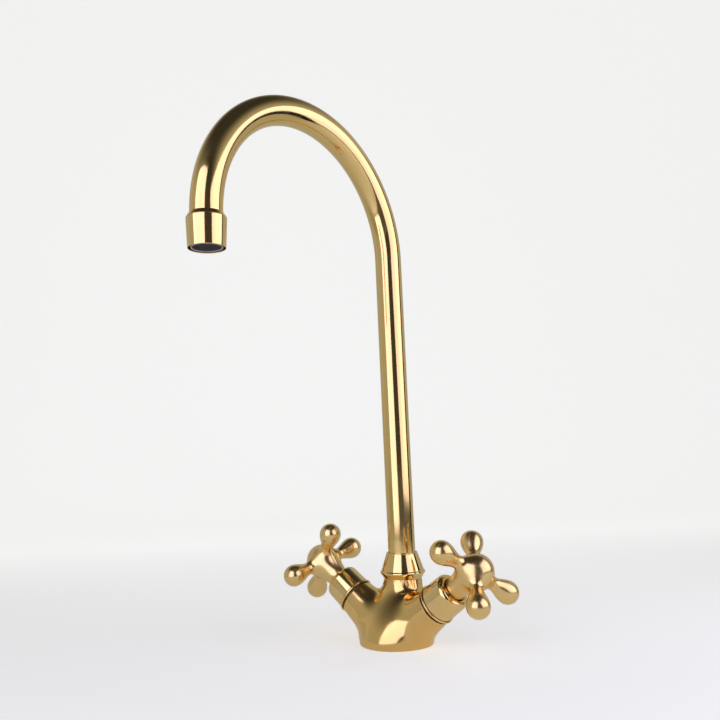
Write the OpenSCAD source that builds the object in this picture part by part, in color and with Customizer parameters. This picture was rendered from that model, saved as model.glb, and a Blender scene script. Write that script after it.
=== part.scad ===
// Two-handle basin mixer: a one-hole body casting with two raised arms, a quarter-turn
// ceramic disc valve and a cross handle on each arm, and a swan-neck spout that swivels
// in the casting's neck under a conical nut.
// Millimetres. The origin is the centre of the foot's flat underside and +Z is up. The
// two arms lie in the XZ plane. At rest the spout points along -Y, towards the user.

/* [Body casting] */
// Diameter of the round foot that stands on the basin
foot_d = 46.5; // [46:0.5:50]
// Height of the foot's upright wall, below its taper to the neck
foot_wall_h = 2; // [1:0.5:4]
// Angle of each arm from the vertical
arm_tilt = 53.9; // [53:0.1:55]
// Height at which the axes of the two arms cross
arm_root_h = 2.9; // [2.5:0.1:4]
// Distance along an arm from that crossing to its mouth, where the valve seats
arm_len = 40.3; // [39.8:0.1:43]
// Outer diameter of an arm at its mouth
arm_d = 24.6; // [24.4:0.1:26]
// Outer diameter of an arm at its root, inside the foot
arm_root_d = 32; // [30:0.5:34]
// Distance of the neck's axis behind the plane of the arms
neck_setback = 10; // [9:0.5:11]
// Height of the neck's shoulder, on which the spout nut lands
neck_h = 39.8; // [39.4:0.2:42]
// Outer diameter of the neck
neck_d = 25; // [24.6:0.1:26]
// Width of the soft blend between the foot and the arms
foot_blend = 11; // [8:0.5:14]
// Width of the soft blend between the neck and the arms
neck_blend = 15; // [11:0.5:17]
// Number of cross-sections in the casting's skin
skin_rings = 29; // [25:2:41]
// Number of points round each cross-section
skin_points = 36; // [32:2:48]

/* [Supply and fixing] */
// Wall diameter of each threaded socket for a 10 mm supply tail
tail_d = 9.2; // [9:0.1:9.4]
// Depth of a tail's thread
tail_depth = 9; // [8:0.5:9.5]
// Wall diameter of the passage above each tail
tail_bore_d = 6.4; // [6:0.2:7]
// Wall diameter of each threaded hole for an 8 mm fixing stud
stud_d = 7; // [6.6:0.1:7.2]
// Depth of a stud's thread
stud_depth = 9; // [8:0.5:12]
// Distance between the two fixing studs, front to back
stud_pitch = 24; // [23:0.5:26]

/* [Spout] */
// Outer diameter of the spout's tube
tube_d = 18; // [17.8:0.1:18.2]
// Wall of the spout's tube
tube_wall = 1; // [0.8:0.1:1.2]
// Height at which the straight riser ends and the bend begins
riser_h = 254; // [180:1:300]
// Centreline radius of the half-circle bend
bend_r = 80; // [60:1:100]

/* [Spout nut] */
// Height of the conical nut
nut_h = 16.4; // [16:0.1:18]
// Diameter of the ridge round the nut's lower end
nut_ridge_d = 30; // [29:0.5:33]
// Diameter of the nut's flat top
nut_top_d = 20.8; // [20.4:0.1:23]

/* [Aerator] */
// Diameter of the aerator's housing at its widest, under the collar's cone
aerator_d = 22; // [21.6:0.1:24]
// Diameter of the housing's lower end
outlet_d = 20.5; // [20.3:0.1:21.4]
// Height of the housing
aerator_h = 16.6; // [16:0.1:19]

/* [Valves] */
// Diameter of a valve's mounting thread, the size called three-eighths pipe
valve_thread_d = 16.5; // [16.3:0.1:16.8]
// Depth of the valve's chamber below the arm's mouth
chamber_depth = 17.3; // [17.1:0.1:18.5]
// Diameter of the two ceramic discs
disc_d = 11; // [10.8:0.1:11.1]
// Thickness of each ceramic disc
disc_t = 2.2; // [2:0.1:2.3]
// Diameter of the spindle
spindle_d = 8; // [7.8:0.1:8.2]
// Number of splines on the spindle's end
spline_count = 20; // [16:2:24]

/* [Shrouds] */
// Height of the shroud over each valve
shroud_h = 17.5; // [17.3:0.1:19]
// Diameter of the bead round the shroud's lower rim
shroud_bead_d = 26.2; // [25.6:0.1:27]
// Diameter of the shroud above that bead
shroud_d = 24.6; // [24.5:0.1:25.5]
// Diameter of the opening that the handle's neck turns in
shroud_mouth_d = 15.4; // [15.2:0.1:16]

/* [Handles] */
// Height of the lobes' plane above the arm's mouth
lobe_h = 36.2; // [36:0.2:40]
// Distance of each lobe's round end from the handle's axis
lobe_reach = 26.1; // [25:0.1:28]
// Diameter of each lobe's round end
lobe_d = 14.4; // [13.5:0.1:15]
// Diameter of a lobe's stem where it is thinnest
stem_d = 7.2; // [6.8:0.1:8]
// Diameter of the hub between the lobes
hub_d = 22; // [21:0.5:23]
// Diameter of the handle's neck inside the shroud's opening
handle_neck_d = 14.4; // [14:0.1:14.6]
// Angle of the left handle's first lobe when its valve is closed
left_rest_angle = 18.2; // [0:0.1:90]
// Angle of the right handle's first lobe when its valve is closed
right_rest_angle = 48.7; // [0:0.1:90]

/* [Hidden] */
$fn = 96;

brass = [0.79, 0.62, 0.32];
dark_brass = [0.55, 0.42, 0.22];
rubber = [0.08, 0.08, 0.09];
ceramic = [0.93, 0.92, 0.88];
plastic = [0.75, 0.76, 0.76];
steel = [0.62, 0.63, 0.65];

// Radial play of a thread or a shaft in its bore
play = 0.05;
// Play of a rubber ring beside the walls of its groove
ring_play = 0.02;
// Overlap that a cutting solid runs past the face it opens
past = 1;

// Number of straight steps in each drawn curve of a profile
curve_steps = 8;

// Casting: neck spigot, spout socket, gasket groove and arm mouth
spigot_d = 22;
spigot_h = 7.7;
spigot_root = 5;
socket_d = 18.4;
socket_depth = 15.8;
socket_floor_h = neck_h - socket_depth;
gasket_d = 42;
gasket_w = 2.8;
gasket_t = 2;
mouth_x = arm_len * sin(arm_tilt);
mouth_z = arm_root_h + arm_len * cos(arm_tilt);
mouth_gap_h = 1.5;
mouth_gap_w = 0.8;
trim_size = 2 * (arm_len + arm_d);

// Casting: water ways from each tail to its valve and on to the spout
tail_x = 9.7;
tail_top_h = arm_root_h + tail_x / tan(arm_tilt);
tail_to_mouth = arm_len - tail_x / sin(arm_tilt);
inlet_bore_d = 6.8;
outlet_bore_d = 6;
outlet_bore_offset = 1.5;
outlet_bore_lift = 0.3;
outlet_bore_start = [21, 1, 22.5];
outlet_bore_end = [4, neck_setback - outlet_bore_offset,
    socket_floor_h + outlet_bore_d / 2 + outlet_bore_lift];

// Casting: the skin's cross-sections fan out from a line parallel to Y above it, so that
// the first and the last one are the arms' mouths, and each is drawn round a core point
fan_h = mouth_z + mouth_x * tan(arm_tilt);
fan_angle = 90 - arm_tilt;
core_h = 14;
core_setback = 0.4 * neck_setback;
core_blend = 9;
core_blend_end = 0.1;

// Rubber ring under each valve's flange, and its seat in the arm's mouth
oring_seat_h = 1.5;
valve_ring_d = valve_thread_d + 4 * play;
valve_ring_w = oring_seat_h - 2 * play - 2 * ring_play;
oring_seat_d = valve_ring_d + 2 * valve_ring_w + 2 * ring_play;

// Spout: swivel sleeve and its two rubber rings
sleeve_d = socket_d - 2 * play;
sleeve_bore_d = 12.6;
sleeve_groove_w = 1.8;
sleeve_groove_d = 15.4;
sleeve_ring_w = (sleeve_d - sleeve_groove_d) / 2 - 2 * ring_play;
sleeve_lift = 0.4;
sleeve_foot_h = socket_floor_h + sleeve_lift;
ring_inset = 5;
ring_pitch = 7;
lower_ring_h = sleeve_foot_h + ring_inset;
upper_ring_h = lower_ring_h + ring_pitch;
sleeve_flange_d = 21.2;
sleeve_flange_t = 1.8;
sleeve_flange_h = neck_h + spigot_h;
tube_foot_h = sleeve_flange_h + sleeve_flange_t;
sleeve_plug_h = 10;
washer_t = 1;

// Spout nut
nut_land_h = 0.8;
nut_edge = 0.3;
nut_ridge_h = 3.7;
nut_ridge_w = 1.2;
nut_ridge_out = 0.9;
nut_play = 0.2;
nut_bore_play = 0.3;
nut_foot_d = neck_d + 2 * nut_play;
nut_foot_h = 0.5;
nut_bore_d = tube_d + 2 * nut_bore_play;
nut_room_d = sleeve_flange_d + 2 * nut_play;
nut_thread_h = spigot_h;
nut_cavity_h = spigot_h + sleeve_flange_t + washer_t;

// Aerator and its collar
nozzle_y = neck_setback - 2 * bend_r;
collar_cone_h = 2.8;
collar_drop = 0.6;
collar_top_h = riser_h - collar_drop;
collar_lip = 0.25;
aerator_top_h = collar_top_h - collar_cone_h;
collar_thread_d = 19;
collar_thread_h = 5.6;
collar_bore_d = 15.6;
tube_seat = 1.1;
tube_end_h = aerator_top_h - tube_seat;
outlet_h = aerator_top_h - aerator_h;
outlet_edge = 0.3;
outlet_lip_w = 0.45;
aerator_washer_t = 1.6;
insert_flange_d = collar_thread_d - 2 * play;
insert_flange_t = 1;
insert_d = 17.4;
insert_rim_w = 0.8;
insert_inset = 0.3;
shelf_t = 1;
shelf_h = aerator_top_h - collar_thread_h - aerator_washer_t - insert_flange_t;
mesh_t = 0.3;
mesh_inset = 0.3;
mesh_h = outlet_h + insert_inset + mesh_inset;

// Valve: heights above the arm's mouth, negative inside the arm
valve_r = valve_thread_d / 2;
shell_d = 13.8;
shell_lift = 0.8;
shell_foot = shell_lift - chamber_depth;
seal_t = 1.8;
disc_play = 0.1;
seal_d = disc_d + 2 * disc_play;
fixed_foot = seal_t - chamber_depth;
moving_foot = fixed_foot + disc_t;
driver_foot = moving_foot + disc_t;
driver_h = 2.2;
thrust_collar_h = 1;
thrust_foot = driver_foot + driver_h + thrust_collar_h;
thrust_washer_t = 0.8;
thrust_washer_play = 0.2;
cup_top = thrust_foot + thrust_washer_t;
cup_d = disc_d + 4 * disc_play;
cup_roof_t = 0.5;
shell_top = cup_top + cup_roof_t;
flange_d = 21.6;
flange_h = 1.4;
hex_across = 18.5;
hex_top = 4.8;
upper_thread_d = 16.8;
valve_top = 12;
guide_d = spindle_d + 2 * play;
ear_w = 3;
ear_reach = 6.3;
ear_root = 0.5;
port_angle = 76;
port_r_in = 1.6;
port_r_out = 4.5;
seal_bore_d = 7.4;

// Spindle
turn = 90;
lug_half_angle = 8;
lug_play_angle = 2;
window_angle = turn + 2 * (lug_half_angle + lug_play_angle);
lug_reach = 6.4;
driver_w = 5.2;
driver_d = disc_d - 2 * disc_play;
tongue_w = 1.8;
tongue_len = 7.6;
tongue_h = 0.9;
tongue_root = 0.5;
tongue_play = 0.1;
spindle_groove_h = 5.2;
spindle_groove_w = 1.4;
spindle_groove_depth = 1.15;
spindle_groove_d = spindle_d - 2 * spindle_groove_depth;
spindle_ring_w = (spindle_d - spindle_groove_d) / 2 - 2 * ring_play;
clip_lift = 0.1;
clip_foot = valve_top + clip_lift;
clip_t = 0.8;
clip_d = 10.8;
clip_seat_d = 6.6;
clip_gap_angle = 70;
spline_gap = 0.6;
spline_foot = clip_foot + clip_t + spline_gap;
spline_inset = 0.1;
spline_d = spindle_d - 2 * spline_inset;
spline_top = 24;
spline_tooth = 0.4;

// Shroud
bead_h = 1.3;
bead_edge = 0.4;
shroud_cavity_d = 22.4;
shroud_cavity_h = 6.5;
shroud_thread_h = 11.5;
shroud_room_d = 18.4;
shroud_roof_t = 1.9;
shroud_room_h = shroud_h - shroud_roof_t;
shoulder_r = 3.4;
shroud_taper = 0.4;
shroud_bevel_h = 0.4;

// Handle: its neck reaches into the shroud's room, and its screw clears the shroud
handle_tail = 2.2;
handle_foot = shroud_h - handle_tail;
handle_edge = 0.4;
handle_neck_rise = 1.5;
handle_neck_top = shroud_h + handle_neck_rise;
dome_h = 12.4;
stem_root = 5;
stem_waist = 12;
socket_gap = 0.3;
socket_top = spline_top + socket_gap;
screw_d = 3.2;
screw_rise = 2.9;
screw_h = shroud_h + screw_rise;
screw_angle = 60;
screw_inset = 0.7;
screw_out = handle_neck_d / 2 - screw_inset;
screw_in = spindle_d / 2 + play;
screw_key_d = 2;
screw_key_depth = 1.4;

function mix(a, b, s) = a + (b - a) * s;
function clamp01(s) = min(max(s, 0), 1);
function ease(s) = pow(clamp01(s), 2) * (3 - 2 * clamp01(s));

// Smaller of two gaps, rounded over a width k where they are alike
function soft_min(a, b, k) = min(a, b) - pow(max(k - abs(a - b), 0) / k, 3) * k / 6;

// Gap between a point and the arm on the +X side: a cone with a round root
function arm_gap(x, y, z) =
    let (up = z - arm_root_h,
        along = x * sin(arm_tilt) + up * cos(arm_tilt),
        across = x * cos(arm_tilt) - up * sin(arm_tilt))
    norm([across, y, min(along, 0)]) - mix(arm_root_d, arm_d, max(along, 0) / arm_len) / 2;

// Gap to the bell: the foot, eased backwards and inwards up to the neck
function bell_gap(x, y, z) =
    let (s = ease((z - foot_wall_h) / (neck_h - foot_wall_h)))
    norm([x, y - neck_setback * s]) - mix(foot_d, neck_d, s) / 2;

// Gap between a point and the casting's skin, with the foot and neck run on past their ends
function skin_gap(p) =
    let (arms = soft_min(arm_gap(p[0], p[1], p[2]), arm_gap(-p[0], p[1], p[2]), neck_blend),
        k = mix(foot_blend, neck_blend, clamp01(p[2] / neck_h)))
    max(soft_min(arms, bell_gap(p[0], p[1], p[2]), k), -past - p[2], p[2] - neck_h - past);

// Distance from an inner point along a ray to the skin, reached in ever smaller steps
function reach(from, ray, far = 0, steps = 36) =
    steps == 0 ? far : reach(from, ray, far - skin_gap(from + far * ray), steps - 1);

// Inner point that the cross-section at an angle of the fan is drawn round: it follows
// the arm's axis, and stays above the foot between the arms
function core(fan) =
    let (out = abs(fan) / fan_angle,
        slope = tan(abs(fan)),
        along = (fan_h - arm_root_h) * slope / (sin(arm_tilt) + cos(arm_tilt) * slope),
        width = mix(core_blend, core_blend_end, out),
        z = -soft_min(-arm_root_h - along * cos(arm_tilt), -core_h, width))
    [(fan_h - z) * tan(fan), mix(core_setback, 0, out), z];

function skin_ring(fan) = [for (i = [0 : skin_points - 1])
    let (a = 360 * i / skin_points,
        centre = core(fan),
        ray = [-sin(fan) * sin(a), cos(a), cos(fan) * sin(a)])
    centre + reach(centre, ray) * ray];

// Two triangles between neighbouring points of neighbouring rings
function skin_faces(r, i) =
    let (j = (i + 1) % skin_points, a = r * skin_points, b = a + skin_points)
    [[a + i, b + i, b + j], [a + i, b + j, a + j]];

// Points of a quarter ellipse about a centre, from beside it to above it
function quarter(centre, rx, ry) = [for (i = [0 : curve_steps])
    let (a = 90 * i / curve_steps)
    centre + [rx * cos(a), ry * sin(a)]];

// Points of a soft swell from diameter d0 at height h0 up to, and without, d1 at h1
function swell(d0, d1, h0, h1) = [for (i = [0 : curve_steps - 1])
    [mix(d0, d1, ease(i / curve_steps)) / 2, mix(h0, h1, i / curve_steps)]];

module lathe(points) rotate_extrude() polygon(points);

module ring(d_in, d_out, h) difference() {
    cylinder(d = d_out, h = h);
    translate([0, 0, -past]) cylinder(d = d_in, h = h + 2 * past);
}

// A rubber ring of round section, lying in the XY plane
module o_ring(d_in, w) rotate_extrude() translate([d_in / 2 + w / 2, 0]) circle(d = w);

// A sector of a ring, from angle a0 round by angle a
module ring_sector(r_in, r_out, h, a0, a)
    rotate([0, 0, a0]) rotate_extrude(angle = a) translate([r_in, 0]) square([r_out - r_in, h]);

module rod(p, q, d) {
    v = q - p;
    translate(p) rotate([0, acos(v[2] / norm(v)), atan2(v[1], v[0])]) cylinder(d = d, h = norm(v));
}

// A round end with a splined outline
module spline(d, h) linear_extrude(height = h) polygon([for (i = [0 : 2 * spline_count - 1])
    (d / 2 - (i % 2) * spline_tooth) * [cos(180 * i / spline_count), sin(180 * i / spline_count)]]);

// Places an arm's pieces: origin at the arm's mouth, +Z out of it. The left arm mirrors
// the right one.
module arm_frame() translate([mouth_x, 0, mouth_z]) rotate([0, arm_tilt, 0]) children();
module on_arm(side) {
    if (side > 0) arm_frame() children();
    else mirror([1, 0, 0]) arm_frame() children();
}
module at_neck(z) translate([0, neck_setback, z]) children();
module at_nozzle(z) translate([0, nozzle_y, z]) children();

module casting_skin() {
    rings = [for (r = [0 : skin_rings - 1]) each skin_ring(mix(-fan_angle, fan_angle, r / (skin_rings - 1)))];
    sides = [for (r = [0 : skin_rings - 2]) for (i = [0 : skin_points - 1]) each skin_faces(r, i)];
    left_end = [for (i = [0 : skin_points - 1]) i];
    right_end = [for (i = [0 : skin_points - 1]) (skin_rings * skin_points - 1) - i];
    polyhedron(points = rings, faces = concat(sides, [left_end, right_end]));
}

// Chamber of one valve: its bore, rubber ring seat, inlet and the passage to the spout
module valve_chamber() {
    translate([0, 0, -chamber_depth]) cylinder(r = valve_r + play, h = chamber_depth + past);
    translate([0, 0, -oring_seat_h]) cylinder(d = oring_seat_d, h = oring_seat_h + past);
    translate([0, 0, -tail_to_mouth])
        cylinder(d = inlet_bore_d, h = tail_to_mouth - chamber_depth + past);
    translate([0, 0, -mouth_gap_h])
        ring(arm_d - 2 * mouth_gap_w, arm_d + 2 * past, mouth_gap_h + past);
}

// A block with its underside centred on a height, to trim the skin with
module trim_block(z) translate([-trim_size / 2, -trim_size / 2, z])
    cube([trim_size, trim_size, trim_size / 2]);

module body() color(brass) difference() {
    union() {
        difference() {
            casting_skin();
            trim_block(-trim_size / 2);
            trim_block(neck_h);
        }
        at_neck(neck_h - spigot_root) cylinder(d = spigot_d, h = spigot_root + spigot_h);
    }
    at_neck(socket_floor_h) cylinder(d = socket_d, h = neck_h + spigot_h);
    for (side = [-1, 1]) {
        on_arm(side) valve_chamber();
        translate([side * tail_x, 0, -past]) cylinder(d = tail_d, h = tail_depth + past);
        translate([side * tail_x, 0, 0]) cylinder(d = tail_bore_d, h = tail_top_h);
        translate([0, side * stud_pitch / 2, -past]) cylinder(d = stud_d, h = stud_depth + past);
    }
    rod(outlet_bore_start, outlet_bore_end, outlet_bore_d);
    mirror([1, 0, 0]) rod(outlet_bore_start, outlet_bore_end, outlet_bore_d);
    translate([0, 0, -past]) ring(gasket_d - 2 * gasket_w, gasket_d, gasket_t + past);
}

module base_gasket() color(rubber)
    ring(gasket_d - 2 * gasket_w + 2 * play, gasket_d - 2 * play, gasket_t);

module spout_nut() color(brass) at_neck(neck_h) lathe([
    [spigot_d / 2 + play, 0],
    [nut_foot_d / 2, 0],
    [nut_foot_d / 2 + nut_edge, nut_foot_h],
    [nut_ridge_d / 2 - nut_edge, nut_ridge_h - nut_ridge_w / 2],
    [nut_ridge_d / 2, nut_ridge_h],
    [nut_ridge_d / 2 - nut_edge, nut_ridge_h + nut_ridge_w / 2],
    [nut_ridge_d / 2 - nut_ridge_out, nut_ridge_h + nut_ridge_w],
    [nut_top_d / 2, nut_h - nut_land_h],
    [nut_top_d / 2 - nut_edge, nut_h],
    [nut_bore_d / 2, nut_h],
    [nut_bore_d / 2, nut_cavity_h],
    [nut_room_d / 2, nut_cavity_h],
    [nut_room_d / 2, nut_thread_h],
    [spigot_d / 2 + play, nut_thread_h]]);

module slip_washer() color(plastic) at_neck(tube_foot_h)
    ring(nut_bore_d, sleeve_flange_d, washer_t);

module tube_path(d) {
    at_neck(tube_foot_h) cylinder(d = d, h = riser_h - tube_foot_h);
    translate([0, neck_setback - bend_r, riser_h]) rotate([0, 0, 90]) rotate([90, 0, 0])
        rotate_extrude(angle = 180) translate([bend_r, 0]) circle(d = d);
    at_nozzle(tube_end_h) cylinder(d = d, h = riser_h - tube_end_h);
}

module spout_tube() color(brass) difference() {
    tube_path(tube_d);
    tube_path(tube_d - 2 * tube_wall);
    at_neck(tube_foot_h - past) cylinder(d = tube_d - 2 * tube_wall, h = 2 * past);
    at_nozzle(tube_end_h - past) cylinder(d = tube_d - 2 * tube_wall, h = 2 * past);
}

module spout_sleeve() color(dark_brass) at_neck(0) difference() {
    union() {
        translate([0, 0, sleeve_foot_h]) cylinder(d = sleeve_d, h = sleeve_flange_h - sleeve_foot_h);
        translate([0, 0, sleeve_flange_h]) cylinder(d = sleeve_flange_d, h = sleeve_flange_t);
        translate([0, 0, tube_foot_h])
            cylinder(d = tube_d - 2 * tube_wall - 2 * play, h = sleeve_plug_h);
    }
    translate([0, 0, sleeve_foot_h - past])
        cylinder(d = sleeve_bore_d, h = tube_foot_h + sleeve_plug_h - sleeve_foot_h + 2 * past);
    for (z = [lower_ring_h, upper_ring_h]) translate([0, 0, z - sleeve_groove_w / 2])
        ring(sleeve_groove_d, sleeve_d + 2 * past, sleeve_groove_w);
}

module spout_oring(z) color(rubber) at_neck(z)
    o_ring(sleeve_groove_d + 2 * ring_play, sleeve_ring_w);
module spout_oring_lower() spout_oring(lower_ring_h);
module spout_oring_upper() spout_oring(upper_ring_h);

module outlet_collar() color(brass) at_nozzle(0) lathe([
    [collar_bore_d / 2, aerator_top_h - collar_thread_h],
    [collar_thread_d / 2, aerator_top_h - collar_thread_h],
    [collar_thread_d / 2, aerator_top_h],
    [aerator_d / 2, aerator_top_h],
    [tube_d / 2 + collar_lip, collar_top_h],
    [tube_d / 2 + play, collar_top_h],
    [tube_d / 2 + play, tube_end_h],
    [collar_bore_d / 2, tube_end_h]]);

module aerator_housing() color(brass) at_nozzle(0) lathe([
    [collar_thread_d / 2 + play, aerator_top_h],
    [aerator_d / 2, aerator_top_h],
    [outlet_d / 2, outlet_h + outlet_edge],
    [outlet_d / 2 - outlet_edge, outlet_h],
    [outlet_d / 2 - outlet_lip_w, outlet_h],
    [outlet_d / 2 - outlet_lip_w, shelf_h - shelf_t],
    [insert_d / 2 + play, shelf_h - shelf_t],
    [insert_d / 2 + play, shelf_h],
    [collar_thread_d / 2 + play, shelf_h]]);

module aerator_washer() color(rubber) at_nozzle(shelf_h + insert_flange_t)
    ring(collar_bore_d, insert_flange_d, aerator_washer_t);

module aerator_insert() color(plastic) at_nozzle(0) lathe([
    [insert_d / 2 - insert_rim_w, outlet_h + insert_inset],
    [insert_d / 2, outlet_h + insert_inset],
    [insert_d / 2, shelf_h],
    [insert_flange_d / 2, shelf_h],
    [insert_flange_d / 2, shelf_h + insert_flange_t],
    [collar_bore_d / 2, shelf_h + insert_flange_t],
    [collar_bore_d / 2, mesh_h + mesh_t],
    [insert_d / 2 - insert_rim_w, mesh_h + mesh_t]]);

module aerator_mesh() color(steel) at_nozzle(mesh_h)
    cylinder(d = insert_d - 2 * insert_rim_w - 2 * play, h = mesh_t);

module valve_body(side) color(dark_brass) on_arm(side) difference() {
    union() {
        translate([0, 0, shell_foot]) cylinder(d = shell_d, h = -shell_foot);
        translate([0, 0, shell_top]) cylinder(r = valve_r, h = -shell_top);
        cylinder(d = flange_d, h = flange_h);
        translate([0, 0, flange_h]) cylinder(d = hex_across / cos(30), h = hex_top - flange_h, $fn = 6);
        translate([0, 0, hex_top]) cylinder(d = upper_thread_d, h = valve_top - hex_top);
    }
    translate([0, 0, -chamber_depth]) cylinder(d = cup_d, h = chamber_depth + cup_top);
    translate([0, 0, -chamber_depth])
        cylinder(d = guide_d, h = chamber_depth + valve_top + past);
    for (a = [0, 180]) translate([0, 0, driver_foot])
        ring_sector(cup_d / 2 - past, shell_d / 2 + past, driver_h,
            a - lug_half_angle - lug_play_angle, window_angle);
    translate([-ear_reach - past, -ear_w / 2 - play, -chamber_depth])
        cube([2 * (ear_reach + past), ear_w + 2 * play, chamber_depth + moving_foot]);
}

module valve_oring(side) color(rubber) on_arm(side) translate([0, 0, -oring_seat_h / 2])
    o_ring(valve_ring_d, valve_ring_w);

module valve_seal(side) color(rubber) on_arm(side) translate([0, 0, -chamber_depth])
    ring(seal_bore_d, seal_d, seal_t);

// A ceramic disc with two ports that start at angle a0
module disc(foot, a0) translate([0, 0, foot]) difference() {
    cylinder(d = disc_d, h = disc_t);
    for (a = [a0, a0 + 180]) translate([0, 0, -past])
        ring_sector(port_r_in, port_r_out, disc_t + 2 * past, a - port_angle / 2, port_angle);
}

module fixed_disc(side) color(ceramic) on_arm(side) union() {
    disc(fixed_foot, 90);
    for (a = [0, 180]) rotate([0, 0, a])
        translate([disc_d / 2 - ear_root, -ear_w / 2, fixed_foot])
        cube([ear_reach - disc_d / 2 + ear_root, ear_w, disc_t]);
}

// The tongue's slot is as much longer and wider than the tongue as it is deeper
module moving_disc(side) color(ceramic) on_arm(side) difference() {
    disc(moving_foot, 0);
    translate([-tongue_w, -tongue_len, 0] / 2 + [0, 0, driver_foot - tongue_h]
        - tongue_play * [1, 1, 1])
        cube([tongue_w, tongue_len, tongue_h] + 2 * tongue_play * [1, 1, 1]);
}

module spindle(side) color(dark_brass) on_arm(side) difference() {
    union() {
        intersection() {
            translate([0, 0, driver_foot]) cylinder(d = driver_d, h = driver_h);
            translate([-driver_w / 2, -disc_d, driver_foot]) cube([driver_w, 2 * disc_d, driver_h]);
        }
        translate([0, 0, driver_foot])
            ring_sector(driver_w / 2, lug_reach, driver_h, 90 - lug_half_angle, 2 * lug_half_angle);
        translate([-tongue_w / 2, -tongue_len / 2, driver_foot - tongue_h])
            cube([tongue_w, tongue_len, tongue_h + tongue_root]);
        translate([0, 0, driver_foot + driver_h]) cylinder(d = driver_d, h = thrust_collar_h);
        translate([0, 0, driver_foot]) cylinder(d = spindle_d, h = spline_foot - driver_foot);
        translate([0, 0, spline_foot]) spline(spline_d, spline_top - spline_foot);
    }
    translate([0, 0, spindle_groove_h])
        ring(spindle_groove_d, spindle_d + 2 * past, spindle_groove_w);
    translate([0, 0, clip_foot - play])
        ring(clip_seat_d, spindle_d + 2 * past, clip_t + 2 * play);
}

module spindle_oring(side) color(rubber) on_arm(side)
    translate([0, 0, spindle_groove_h + spindle_groove_w / 2])
    o_ring(spindle_groove_d + 2 * ring_play, spindle_ring_w);

module spindle_clip(side) color(steel) on_arm(side) translate([0, 0, clip_foot])
    ring_sector(clip_seat_d / 2 + play, clip_d / 2, clip_t, clip_gap_angle / 2, 360 - clip_gap_angle);

module thrust_washer(side) color(plastic) on_arm(side) translate([0, 0, thrust_foot])
    ring(spindle_d + 2 * thrust_washer_play, disc_d, thrust_washer_t);

module shroud(side) color(brass) on_arm(side) lathe(concat([
    [shroud_cavity_d / 2, 0],
    [shroud_bead_d / 2 - bead_edge, 0],
    [shroud_bead_d / 2, bead_edge],
    [shroud_bead_d / 2, bead_h - bead_edge],
    [shroud_d / 2, bead_h]],
    quarter([shroud_d / 2 - shroud_taper - shoulder_r, shroud_h - shoulder_r],
        shoulder_r, shoulder_r), [
    [shroud_mouth_d / 2, shroud_h - shroud_bevel_h],
    [shroud_mouth_d / 2, shroud_room_h],
    [shroud_room_d / 2, shroud_room_h],
    [shroud_room_d / 2, shroud_thread_h],
    [upper_thread_d / 2 + play, shroud_thread_h],
    [upper_thread_d / 2 + play, shroud_cavity_h],
    [shroud_cavity_d / 2, shroud_cavity_h]]));

// A cross handle: a lathe-turned hub with four pear-shaped lobes
module hub() lathe(concat([
    [0, handle_foot],
    [handle_neck_d / 2 - handle_edge, handle_foot],
    [handle_neck_d / 2, handle_foot + handle_edge]],
    swell(handle_neck_d, hub_d, handle_neck_top, lobe_h),
    quarter([0, lobe_h], hub_d / 2, dome_h)));

module lobe() translate([0, 0, lobe_h]) rotate([0, 90, 0]) lathe(concat([
    [0, stem_root],
    [stem_d / 2, stem_root]],
    swell(stem_d, lobe_d, stem_waist, lobe_reach),
    quarter([0, lobe_reach], lobe_d / 2, lobe_d / 2)));

module handle(side, rest) color(brass) on_arm(side) difference() {
    union() {
        hub();
        for (i = [0 : 3]) rotate([0, 0, rest + 90 * i]) lobe();
    }
    translate([0, 0, handle_foot - past])
        spline(spline_d + 2 * play, socket_top - handle_foot + past);
    rotate([0, 0, screw_angle]) translate([spindle_d / 4, 0, screw_h]) rotate([0, 90, 0])
        cylinder(d = screw_d + 2 * play, h = hub_d);
}

module handle_screw(side) color(steel) on_arm(side) rotate([0, 0, screw_angle])
    translate([screw_in, 0, screw_h]) rotate([0, 90, 0]) difference() {
        cylinder(d = screw_d, h = screw_out - screw_in);
        translate([0, 0, screw_out - screw_in - screw_key_depth])
            cylinder(d = screw_key_d, h = screw_key_depth + past, $fn = 6);
    }

body();
base_gasket();
spout_nut();
slip_washer();
spout_tube();
spout_sleeve();
spout_oring_lower();
spout_oring_upper();
outlet_collar();
aerator_housing();
aerator_washer();
aerator_insert();
aerator_mesh();
handle(-1, left_rest_angle);  // left_handle
handle_screw(-1);  // left_handle_screw
shroud(-1);  // left_shroud
valve_body(-1);  // left_valve_body
valve_oring(-1);  // left_valve_oring
valve_seal(-1);  // left_valve_seal
fixed_disc(-1);  // left_fixed_disc
moving_disc(-1);  // left_moving_disc
spindle(-1);  // left_spindle
spindle_oring(-1);  // left_spindle_oring
spindle_clip(-1);  // left_spindle_clip
thrust_washer(-1);  // left_thrust_washer
handle(1, right_rest_angle);  // right_handle
handle_screw(1);  // right_handle_screw
shroud(1);  // right_shroud
valve_body(1);  // right_valve_body
valve_oring(1);  // right_valve_oring
valve_seal(1);  // right_valve_seal
fixed_disc(1);  // right_fixed_disc
moving_disc(1);  // right_moving_disc
spindle(1);  // right_spindle
spindle_oring(1);  // right_spindle_oring
spindle_clip(1);  // right_spindle_clip
thrust_washer(1);  // right_thrust_washer
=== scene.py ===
"""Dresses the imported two-handle basin mixer: smooth polished skins, finishes and a studio.

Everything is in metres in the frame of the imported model: the origin is the centre of the
foot's underside, +Z is up and the spout points along -Y.
"""

import math

import bmesh
import bpy
import numpy as np
from mathutils import Matrix


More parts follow.
